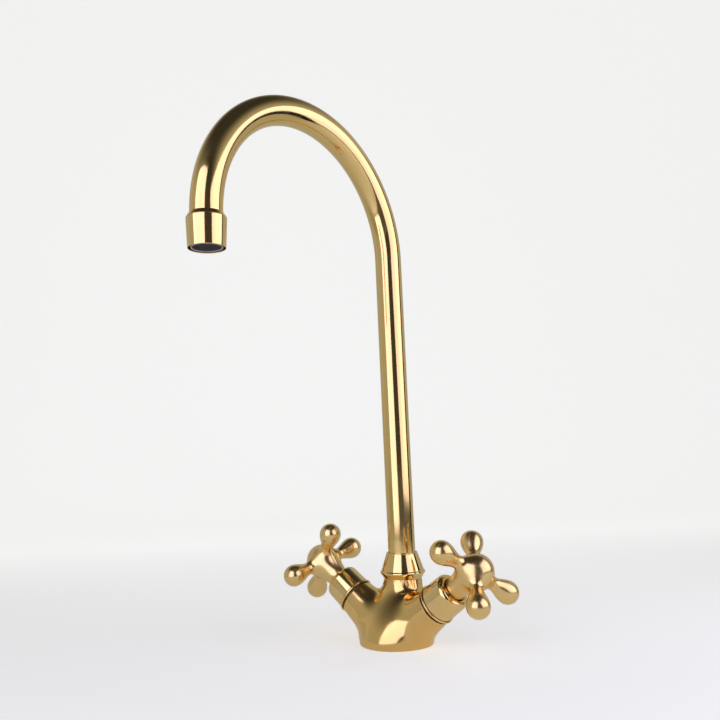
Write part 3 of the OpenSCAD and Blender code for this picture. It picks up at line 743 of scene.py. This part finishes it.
class MIXER_OT_spout(bpy.types.Operator):
    """Swan-neck tube and the conical nut that holds it down"""

    bl_idname = "mixer.add_spout"
    bl_label = "Spout and Nut"

    def execute(self, context):
        s = context.scene.mixer_spout
        c = context.scene.mixer_casting
        mesh = bmesh.new()
        outer = tube_rings(s, s.tube_d / 2, c.neck_setback)
        inner = tube_rings(s, s.tube_d / 2 - s.tube_wall, c.neck_setback)[::-1]
        add_grid(mesh, np.concatenate([outer, inner]), loop_rows=True)
        make_piece("swan_neck", mesh, "drawn_brass", "spout", ["spout_tube"])

        ridge, foot, edge = s.nut_ridge_d / 2, s.nut_foot_d / 2, s.nut_edge
        thread, top = c.spigot_d / 2 + FIT, s.nut_top_d / 2
        bore, room = s.nut_bore_d / 2, s.nut_room_d / 2
        outline = rounded([
            (thread, 0, 0), (foot, 0, EDGE), (foot + edge, s.nut_foot_h, 2 * EDGE),
            (ridge - edge, s.nut_ridge_h - s.nut_ridge_w / 2, 2 * EDGE),
            (ridge, s.nut_ridge_h, 2 * EDGE),
            (ridge - edge, s.nut_ridge_h + s.nut_ridge_w / 2, 2 * EDGE),
            (ridge - s.nut_ridge_out, s.nut_ridge_h + s.nut_ridge_w, 4 * EDGE),
            (top, s.nut_h - s.nut_land_h, 4 * EDGE), (top, s.nut_h, edge),
            (bore, s.nut_h, EDGE), (bore, s.nut_room_h, 0), (room, s.nut_room_h, 0),
            (room, c.spigot_h, 0), (thread, c.spigot_h, 0)])
        turned_piece("nut", outline + np.array([0, c.neck_h]), at(c.neck_setback),
                     "mixer_body", "spout_nut")
        return {"FINISHED"}


def woven_wires(radius, pitch, wire_d, height, turn, samples=220, sides=8):
    """Grids of one direction's wires in a round woven mesh.

    Each wire is a small circle carried along a chord, raised and lowered by half a wire in
    a sine of the distance over the pitch, opposite in neighbouring wires. Its end rings
    shrink to points, which closes it.
    """
    count = int((radius - wire_d) / pitch)
    offset = pitch * np.arange(-count, count + 1)
    half = np.sqrt(radius**2 - offset**2)
    share = np.concatenate([[-1], np.linspace(-1, 1, samples), [1]])
    thick = np.concatenate([[0], np.full(samples, wire_d / 2), [0]])
    around = circle(sides)
    along = half[:, None] * share
    phase = np.pi * np.arange(2 * count + 1)[:, None] + turn * np.pi
    lift = wire_d / 2 * np.cos(np.pi * along / pitch + phase)
    x = along[..., None] + 0 * around
    y = offset[:, None, None] + thick[:, None] * np.cos(around)
    z = height + lift[..., None] + thick[:, None] * np.sin(around)
    return np.stack([y, x, z] if turn else [x, y, z], -1)


class MIXER_OT_aerator(bpy.types.Operator):
    """Collar, aerator housing, plastic insert and woven mesh at the nozzle"""

    bl_idname = "mixer.add_aerator"
    bl_label = "Aerator"

    def execute(self, context):
        s = context.scene.mixer_spout
        nozzle = at(context.scene.mixer_casting.neck_setback - 2 * s.bend_r)
        top = s.collar_top_h - s.collar_cone_h
        outlet, shelf = top - s.aerator_h, top - s.shelf_drop
        tube_r, thread_r, bore_r = s.tube_d / 2, s.collar_thread_d / 2, s.collar_bore_d / 2
        collar = rounded([
            (bore_r, top - s.collar_thread_h, 0), (thread_r, top - s.collar_thread_h, 0),
            (thread_r, top, 0), (s.aerator_d / 2, top, EDGE),
            (tube_r + s.collar_lip, s.collar_top_h, EDGE), (tube_r + FIT, s.collar_top_h, 0),
            (tube_r + FIT, top - s.tube_seat, 0), (bore_r, top - s.tube_seat, 0)])
        turned_piece("collar", collar, nozzle, "spout", "outlet_collar")

        lip_r, insert_r = s.outlet_d / 2 - s.outlet_lip_w, s.insert_d / 2
        shelf_foot, room_r, seat_r = shelf - s.shelf_t, thread_r + FIT, insert_r + FIT
        housing = rounded([
            (room_r, top, 0), (s.aerator_d / 2, top, 2.5 * EDGE),
            (s.outlet_d / 2, outlet, s.outlet_edge), (lip_r, outlet, 1.2 * EDGE),
            (lip_r, shelf_foot, 0), (seat_r, shelf_foot, 0), (seat_r, shelf, 0),
            (room_r, shelf, 0)])
        turned_piece("aerator_shell", housing, nozzle, "spout", "aerator_housing")

        rim, rim_r = outlet + s.insert_inset, insert_r - s.insert_rim_w
        mesh_top = rim + s.mesh_inset + s.mesh_t
        flange_r, flange_top = thread_r - FIT, shelf + s.insert_flange_t
        insert = rounded([
            (rim_r, rim, 2 * EDGE), (insert_r, rim, 2 * EDGE), (insert_r, shelf, 0),
            (flange_r, shelf, 0), (flange_r, flange_top, 0), (bore_r, flange_top, 0),
            (bore_r, mesh_top, 0), (rim_r, mesh_top, 0)])
        turned_piece("aerator_core", insert, nozzle, "spout", "aerator_insert", "grey_plastic")

        mesh = bmesh.new()
        middle, edge_wire_r = mesh_top - s.mesh_t / 2, 0.00014
        for turn in (0, 1):
            for wire in woven_wires(rim_r - FIT - s.wire_d / 2, s.mesh_pitch, s.wire_d, middle,
                                    turn):
                add_grid(mesh, nozzle(wire))
        edge_wire = polar(edge_wire_r, circle(12), 0)[:, :2] + [rim_r - FIT - edge_wire_r, middle]
        add_grid(mesh, nozzle(turned(edge_wire, circle(128))), loop_rows=True)
        make_piece("aerator_screen", mesh, "steel_mesh", "spout", ["aerator_mesh"],
                   math.radians(80))
        return {"FINISHED"}


# The shrouds and the cross handles


class MIXER_OT_shrouds(bpy.types.Operator):
    """The two turned shrouds over the valves"""

    bl_idname = "mixer.add_shrouds"
    bl_label = "Shrouds"

    def execute(self, context):
        s = context.scene.mixer_trim
        bead, wall, mouth = s.shroud_bead_d / 2, s.shroud_d / 2, s.shroud_mouth_d / 2
        room, thread, cavity = s.shroud_room_d / 2, s.shroud_thread_d / 2, s.shroud_cavity_d / 2
        top = s.shroud_h
        room_h, mouth_h = top - s.shroud_roof_t, top - s.shroud_bevel_h
        roof_r = wall - s.shroud_taper - s.shoulder_r
        groove_r, groove_h = wall - s.bead_groove_w, s.bead_h + s.bead_groove_h
        outline = rounded([
            (cavity, 0, 0), (bead, 0, s.bead_edge), (bead, s.bead_h, s.bead_edge),
            (groove_r, s.bead_h, 0), (groove_r, groove_h, 0), (wall, groove_h, EDGE),
            (wall - s.shroud_taper, top, s.shoulder_r), (roof_r - 3 * EDGE, top, 1.5 * EDGE),
            (mouth, mouth_h, 1.5 * EDGE), (mouth, room_h, 0), (room, room_h, 0),
            (room, s.shroud_thread_h, 0), (thread, s.shroud_thread_h, 0),
            (thread, s.shroud_cavity_h, 0), (cavity, s.shroud_cavity_h, 0)], steps=10)
        for side, name in ((-1, "left"), (1, "right")):
            cover = turned_piece(name + "_cover", outline, on_arm(side), "mixer_body",
                                 name + "_shroud")
            # Painted shade in each shroud's hollows: the inside, the handle's opening and the
            # groove over the bead get the dark brown brass
            radius, height = from_arm(side, face_centres(cover)[0])
            inside = (height < room_h + EDGE) & (radius < room + EDGE)
            opening = (radius < mouth + 2 * NEAR) & (height < mouth_h)
            from_groove = np.abs(height - (s.bead_h + groove_h) / 2)
            groove = (from_groove < s.bead_groove_h / 2 + NEAR) & (radius < wall - EDGE)
            second_finish(cover, "tarnished_brass", inside | opening | groove)
        return {"FINISHED"}


def handle_gap(s, points):
    """Gap to a cross handle, about the crossing of its lobes with Z along its axis.

    The hub is an ellipsoid above the lobes' plane and eases down to the neck below it. A
    lobe is a pear: a ball at its end and a stem whose radius eases from thin to the
    ball's. The hub's and the lobes' gaps are blended with soft fillets.
    """
    x, y, z = np.moveaxis(points, -1, 0)
    hub_r, across = s.hub_d / 2, np.hypot(x, y)
    below = across - mix(s.handle_neck_d, s.hub_d,
                         ease(1 + z / (s.lobe_h - s.handle_neck_top))) / 2
    above = hub_r * (np.sqrt((across / hub_r) ** 2 + (z / s.dome_h) ** 2) - 1)
    hub = np.where(z > 0, above, below)
    result, fillets = hub, 0
    for along, side in ((np.abs(x), y), (np.abs(y), x)):
        swell = ease((along - s.stem_waist) / (s.lobe_reach - s.stem_waist))
        ball = np.sqrt(np.maximum(along - s.lobe_reach, 0) ** 2 + side**2 + z**2)
        lobe = ball - mix(s.stem_d, s.lobe_d, swell) / 2
        fillets = fillets + closeness(hub, lobe, s.fillet)
        result = np.minimum(result, lobe)
    return result - fillets


def on_sphere(azimuth, elevation):
    """Unit direction of an azimuth and an elevation."""
    return polar(np.cos(elevation), azimuth, np.sin(elevation))


def lobe_grid(s, tip_rows=24, rows=40, inside=0.001):
    """Quarter of a handle's skin round the lobe on +X, as rays that slide along its axis.

    They fan out from the ball's centre, then stand square to the axis down the stem to
    just inside its waist, and last lean over towards the quarter's border as they slide to
    the hub's centre. The border is two meridians at 45 degrees and two parallels at the
    edge's elevation.
    """
    sweep, turn = HUB_EDGE * (2 * np.arange(QUARTER) / QUARTER - 1), math.pi / 4
    aside = turn * sweep / HUB_EDGE
    border = np.concatenate([on_sphere(turn, sweep), on_sphere(-aside, HUB_EDGE),
                             on_sphere(-turn, -sweep), on_sphere(aside, -HUB_EDGE)])
    around = circle(4 * QUARTER) - turn
    square = np.stack([0 * around, np.cos(around), np.sin(around)], -1)
    root = s.stem_waist - inside
    fan = np.linspace(0, math.pi / 2, tip_rows)[:, None, None]
    tip = np.cos(fan) * np.array([1, 0, 0]) + np.sin(fan) * square
    down = np.linspace(s.lobe_reach, root, rows)[1:]
    slide = np.linspace(root, 0, rows)[1:]
    lean = ease(np.linspace(0, 1, rows)[1:])[:, None, None]
    between = np.arccos(np.clip((square * border).sum(-1, keepdims=True), -1, 1))
    ray = np.concatenate([tip, np.repeat(square[None], len(down), 0),
                          turning(square, border, lean, np.maximum(between, 1e-6))])
    start = np.concatenate([np.full(tip_rows, s.lobe_reach), down, slide])[:, None, None]
    return march(lambda p: handle_gap(s, p), start * np.array([1.0, 0, 0]), ray)


def cap_grid(s):
    """Top of the hub: rays from its centre from the edge's elevation up to the pole."""
    rise = np.linspace(HUB_EDGE, math.pi / 2, 40)[:, None]
    return march(lambda p: handle_gap(s, p), np.zeros(3), on_sphere(circle(4 * QUARTER), rise))


def foot_grid(s, rest, teeth=20):
    """Underside of the hub, the neck, its foot and the splined socket inside it.

    The socket's radius is a triangle wave of its teeth, which line up with the arm's own
    frame whatever the handle's rest angle is.
    """
    count = 4 * QUARTER
    around, step = circle(count), 2 * math.pi / count
    swell_h = s.handle_neck_top - s.lobe_h
    sink = np.linspace(0, 1, 30)[:, None]
    deepest = 0.7 * swell_h
    under = march(lambda p: handle_gap(s, p), deepest * sink[..., None] * UP,
                  on_sphere(around, -HUB_EDGE * (1 - sink)))
    foot_h, neck_r = s.handle_foot - s.lobe_h, s.handle_neck_d / 2
    drop = np.linspace(deepest, foot_h + s.handle_edge + 2 * EDGE, 16)[1:, None]
    neck = np.hstack([mix(s.handle_neck_d, s.hub_d, ease(1 - drop / swell_h)) / 2, drop])
    rim = rounded([(neck_r, foot_h + 2 * s.handle_edge, 0), (neck_r, foot_h + s.handle_edge, EDGE),
                   (neck_r - s.handle_edge, foot_h, EDGE), (s.socket_d / 2 + 5 * EDGE, foot_h, 0)],
                  closed=False, steps=3)[1:]
    outer = turned(np.vstack([neck, rim]), around)
    aligned = (around + rest + step / 2) // step * step
    tooth = np.abs((aligned * teeth / (2 * math.pi) + 1e-9) % 2 - 1)
    levels = np.array([foot_h, s.socket_top - s.lobe_h])[:, None]
    socket = polar(s.socket_d / 2 - s.socket_tooth * (1 - tooth), aligned - rest, levels)
    end = np.zeros((1, count, 3)) + levels[1] * UP
    return np.concatenate([under, outer, socket, end])


class MIXER_OT_handles(bpy.types.Operator):
    """The two four-lobed cross handles"""

    bl_idname = "mixer.add_handles"
    bl_label = "Cross Handles"

    def execute(self, context):
        s = context.scene.mixer_trim
        lobe, cap = lobe_grid(s), cap_grid(s)
        for side, name, rest in ((-1, "left", s.left_rest), (1, "right", s.right_rest)):
            mesh = bmesh.new()
            place = on_arm(side)
            lobes = [(lobe, rest + quarter * math.pi / 2) for quarter in range(4)]
            for grid, by in [*lobes, (cap, rest), (foot_grid(s, rest), rest)]:
                add_grid(mesh, place(spun(grid, by) + s.lobe_h * UP))
            handle = make_piece(name + "_cross", mesh, "handled_brass", name + "_handle_set",
                                [name + "_handle"])
            self.drill(handle, s, place)
        return {"FINISHED"}

    def drill(self, handle, s, place, start=0.002):
        """Cuts the grub screw's hole from the socket to the neck's rear side."""
        end, screw_r = s.hub_d / 2, s.screw_d / 2
        reach = np.array([(start, 0), (start, screw_r), (end, screw_r), (end, 0)])
        rod = np.roll(turned(reach[:, ::-1], circle(32)), 1, -1)
        cutter = bmesh.new()
        add_grid(cutter, place(spun(rod, s.screw_angle) + s.screw_h * UP))
        drill = add_object("drill", welded("drill", cutter))
        cut = handle.modifiers.new("screw_hole", "BOOLEAN")
        cut.object, cut.operation, cut.solver = drill, "DIFFERENCE", "EXACT"
        result = bpy.data.meshes.new_from_object(
            handle.evaluated_get(bpy.context.evaluated_depsgraph_get()))
        handle.modifiers.clear()
        handle.data = result
        result.set_sharp_from_angle(angle=SHARP)
        bpy.data.objects.remove(drill)


# Finishes of the carried-over pieces


class MIXER_OT_inner_finishes(bpy.types.Operator):
    """Finishes of the rings, washers, discs, spindles and valve bodies inside"""

    bl_idname = "mixer.finish_inner_pieces"
    bl_label = "Inner Finishes"

    def execute(self, context):
        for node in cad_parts.values():
            slot = node.data.materials[0].name.removeprefix(PACKED)
            node.data.materials[0] = bpy.data.materials[slot]
        return {"FINISHED"}


class MIXER_OT_finishes(bpy.types.Operator):
    """Makes every material of the mixer"""

    bl_idname = "mixer.make_finishes"
    bl_label = "Make Finishes"

    def execute(self, context):
        for material in list(bpy.data.materials):
            material.name = PACKED + material.name
        make_finishes(context.scene.mixer_finishes)
        return {"FINISHED"}


# The studio


def toward(bearing):
    """Level direction from the mixer at a bearing from the camera's side."""
    bearing = np.asarray(bearing)[..., None]
    return np.sin(bearing) * RIGHT - np.cos(bearing) * AHEAD


def stand(thing, side, top, back, place):
    """Puts an object at a place, with its own X, Y and Z along three directions."""
    matrix = np.eye(4)
    matrix[:3, :4] = np.column_stack([side, top, back, place])
    thing.matrix_world = Matrix(matrix)


def soft_box(name, bearing, distance, low, high, width, tilt, toe, radiance):
    """Lit panel at a bearing from the camera's side, that stands from low to high.

    It faces the mixer's axis, turned aside by its toe and down by its tilt. Its power is its
    radiance times pi times its area, so that the metal mirrors it at that level. Its light
    is slightly blue, which keeps the brass pale.
    """
    tall = (high - low) / math.cos(tilt)
    light = bpy.data.lights.new(name, "AREA")
    light.shape = "RECTANGLE"
    light.size, light.size_y = width, tall
    light.energy = radiance * math.pi * width * tall
    light.color = (1.0, 0.94, 1.38)
    box = add_object(name, light)
    out = toward(bearing + toe)
    back, side = out * math.cos(tilt) + UP * math.sin(tilt), np.cross(UP, out)
    stand(box, side, np.cross(back, side), back,
          toward(bearing) * distance + UP * (low + high) / 2)
    box.visible_camera = False


def studio_surface(name, paint, grid, near_lift, far_lift, mirror_share, hidden=True):
    """Stage surface, plain and matt, lifted to a pale tone for the camera by Light Path.

    The lift runs from near to far away from the camera, because less light falls there.
    Polished metal sees a share of it, and diffuse light gets none. A hidden surface shows
    in the metal's reflections alone.
    """

    def build(add):
        where = add("ShaderNodeTexCoord").outputs["Object"]
        depth = add("ShaderNodeVectorMath", {0: where, 1: AHEAD}, operation="DOT_PRODUCT")
        lift = spread(add, depth.outputs["Value"], near_lift, far_lift, -0.1, 0.6)
        path = add("ShaderNodeLightPath").outputs
        mirrored = add("ShaderNodeMath", {0: path["Is Glossy Ray"], 1: path["Is Transmission Ray"]},
                       operation="ADD", use_clamp=True)
        seen = add("ShaderNodeMath", {0: mirrored.outputs[0], 1: mirror_share,
                                      2: path["Is Camera Ray"]}, operation="MULTIPLY_ADD")
        level = add("ShaderNodeMath", {0: seen.outputs[0], 1: lift}, operation="MULTIPLY")
        return {"Base Color": tint(add, grain(add, 3), paint, shade(paint, 0.985)),
                "Roughness": 0.9, "Specular IOR Level": 0.1,
                "Emission Color": (1.0, 1.0, 1.008, 1), "Emission Strength": level.outputs[0]}

    data = grid_mesh(name, grid)
    data.shade_smooth()
    data.materials.append(new_finish(name, build))
    surface = add_object(name, data)
    if hidden:
        surface.visible_camera = surface.visible_shadow = surface.visible_diffuse = False


class MIXER_OT_studio(bpy.types.Operator):
    """Camera at the photograph's viewpoint, floor, backdrop, soft boxes and a dim room"""

    bl_idname = "mixer.add_studio"
    bl_label = "Studio"

    def execute(self, context):
        self.camera(context)
        self.surfaces(context.scene.mixer_finishes.floor)
        soft_box("left_soft_box", math.radians(-34), distance=0.53, low=0.02, high=0.65,
                 width=0.49, tilt=math.radians(3), toe=0.0, radiance=1.55)
        soft_box("right_soft_box", BOX_BEARING, BOX_DISTANCE, low=0.058, high=0.508,
                 width=BOX_WIDTH, tilt=math.radians(20), toe=BOX_TOE, radiance=1.25)
        self.room(context)
        context.scene.view_settings.view_transform = "Standard"
        return {"FINISHED"}

    def camera(self, context):
        """Camera that looks along its yaw and up by its pitch, with a slight roll."""
        yaw, pitch, roll, place = 0.688, 0.124, 0.042, (0.310874, -0.403611, 0.121587)
        forward = np.array([-math.sin(yaw) * math.cos(pitch), math.cos(yaw) * math.cos(pitch),
                            math.sin(pitch)])
        right = np.array([math.cos(yaw), math.sin(yaw), 0])
        up = np.cross(right, forward)
        lens = bpy.data.cameras.new("camera")
        lens.lens, lens.sensor_width = 37.889, 36
        lens.clip_start, lens.clip_end = 0.01, 50
        camera = add_object("camera", lens)
        stand(camera, right * math.cos(roll) - up * math.sin(roll),
              right * math.sin(roll) + up * math.cos(roll), -forward, place)
        context.scene.camera = camera

    def surfaces(self, paint, under=0.0001, over=0.0005, flag_w=0.12, flag_h=0.52):
        """Floor and backdrop, a dark table edge and the black side of the right soft box.

        The floor lies a little under the foot and curves up into the backdrop. The table
        edge lies a little over the floor, far out and round the sides.
        """
        bend = np.linspace(0, math.pi / 2, 33)
        far = np.concatenate([[-3.0], 1.0 + 0.5 * np.sin(bend), [1.5]])[:, None, None]
        high = np.concatenate([[0], 0.5 * (1 - np.cos(bend)), [1.8]])[:, None, None] - under
        wide = np.linspace(-3.0, 3.0, 25)[:, None]
        studio_surface("floor_and_backdrop", paint, far * AHEAD + high * UP + wide * RIGHT,
                       0.475, 0.78, 0.42, hidden=False)

        reach = np.array([0.55, 0.8, 1.4, 2.6])[:, None, None]
        bearing = np.radians(np.linspace(-22, 100, 40))
        studio_surface("table_edge", (0.15, 0.15, 0.15), reach * toward(bearing) + over * UP,
                       0.06, 0.06, 1.0)

        edge = BOX_WIDTH / 2 + np.array([0.0, flag_w])[:, None, None]
        height = np.array([0.0, flag_h])[:, None]
        middle = BOX_DISTANCE * toward(BOX_BEARING)
        along = toward(BOX_BEARING + BOX_TOE + math.pi / 2)
        studio_surface("soft_box_side", (0.02, 0.02, 0.02), middle + edge * along + height * UP,
                       0.0, 0.0, 1.0)

    def room(self, context):
        """Room beyond the lights: dim behind the camera and overhead, grey at the back.

        The camera itself sees a plain pale level behind the stage.
        """
        world = bpy.data.worlds.new("studio_room")
        world.use_nodes = True
        context.scene.world = world
        add, fill = node_maker(world.node_tree)
        where = add("ShaderNodeTexCoord").outputs["Generated"]
        ahead = add("ShaderNodeVectorMath", {0: where, 1: AHEAD},
                    operation="DOT_PRODUCT").outputs["Value"]
        height = add("ShaderNodeSeparateXYZ", {0: where}).outputs["Z"]

        def laid_out(value, start, end, low, high):
            return spread(add, value, low, high, start, end, interpolation_type="SMOOTHSTEP")

        level = add("ShaderNodeMath", {0: laid_out(ahead, -0.75, -0.35, 0.05, 0.42),
                                       1: laid_out(ahead, 0.1, 0.8, 0.0, 0.18)},
                    operation="ADD", use_clamp=True)
        room = add("ShaderNodeMath", {0: level.outputs[0],
                                      1: laid_out(height, 0.45, 0.93, 1.0, 0.09)},
                   operation="MULTIPLY")
        seen, behind = add("ShaderNodeLightPath").outputs["Is Camera Ray"], 0.82
        strength = add("ShaderNodeMix", {0: seen, 2: room.outputs[0], 3: behind},
                       data_type="FLOAT")
        fill(world.node_tree.nodes["Background"],
             {"Color": (1, 1, 1, 1), "Strength": strength.outputs[0]})


class VIEW3D_PT_basin_mixer(bpy.types.Panel):
    """Sidebar panel that lists the mixer's sizes, finishes and pieces"""

    bl_label = "Basin Mixer"
    bl_space_type = "VIEW_3D"
    bl_region_type = "UI"
    bl_category = "Basin Mixer"

    def draw(self, context):
        for group in (context.scene.mixer_casting, context.scene.mixer_spout,
                      context.scene.mixer_trim, context.scene.mixer_finishes):
            box = self.layout.box()
            for name in group.__annotations__:
                box.prop(group, name)
        for operator in OPERATORS:
            self.layout.operator(operator.bl_idname)


GROUPS = {"mixer_casting": CastingSizes, "mixer_spout": SpoutSizes, "mixer_trim": TrimSizes,
          "mixer_finishes": Finishes}
OPERATORS = (MIXER_OT_finishes, MIXER_OT_studio, MIXER_OT_inner_finishes, MIXER_OT_casting,
             MIXER_OT_spout, MIXER_OT_aerator, MIXER_OT_shrouds, MIXER_OT_handles)


def register():
    """Registers the groups, operators and panel, and puts the groups on the scene."""
    for kind in (*GROUPS.values(), *OPERATORS, VIEW3D_PT_basin_mixer):
        bpy.utils.register_class(kind)
    for name, group in GROUPS.items():
        setattr(bpy.types.Scene, name, bpy.props.PointerProperty(type=group))


def unregister():
    """Takes everything back out in the opposite order."""
    for name in GROUPS:
        delattr(bpy.types.Scene, name)
    for kind in reversed((*GROUPS.values(), *OPERATORS, VIEW3D_PT_basin_mixer)):
        bpy.utils.unregister_class(kind)


def main():
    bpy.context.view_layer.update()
    register()
    bpy.ops.mixer.make_finishes()
    bpy.ops.mixer.add_studio()
    bpy.ops.mixer.finish_inner_pieces()
    bpy.ops.mixer.add_casting()
    bpy.ops.mixer.add_spout()
    bpy.ops.mixer.add_aerator()
    bpy.ops.mixer.add_shrouds()
    bpy.ops.mixer.add_handles()


if __name__ == "__main__":
    main()
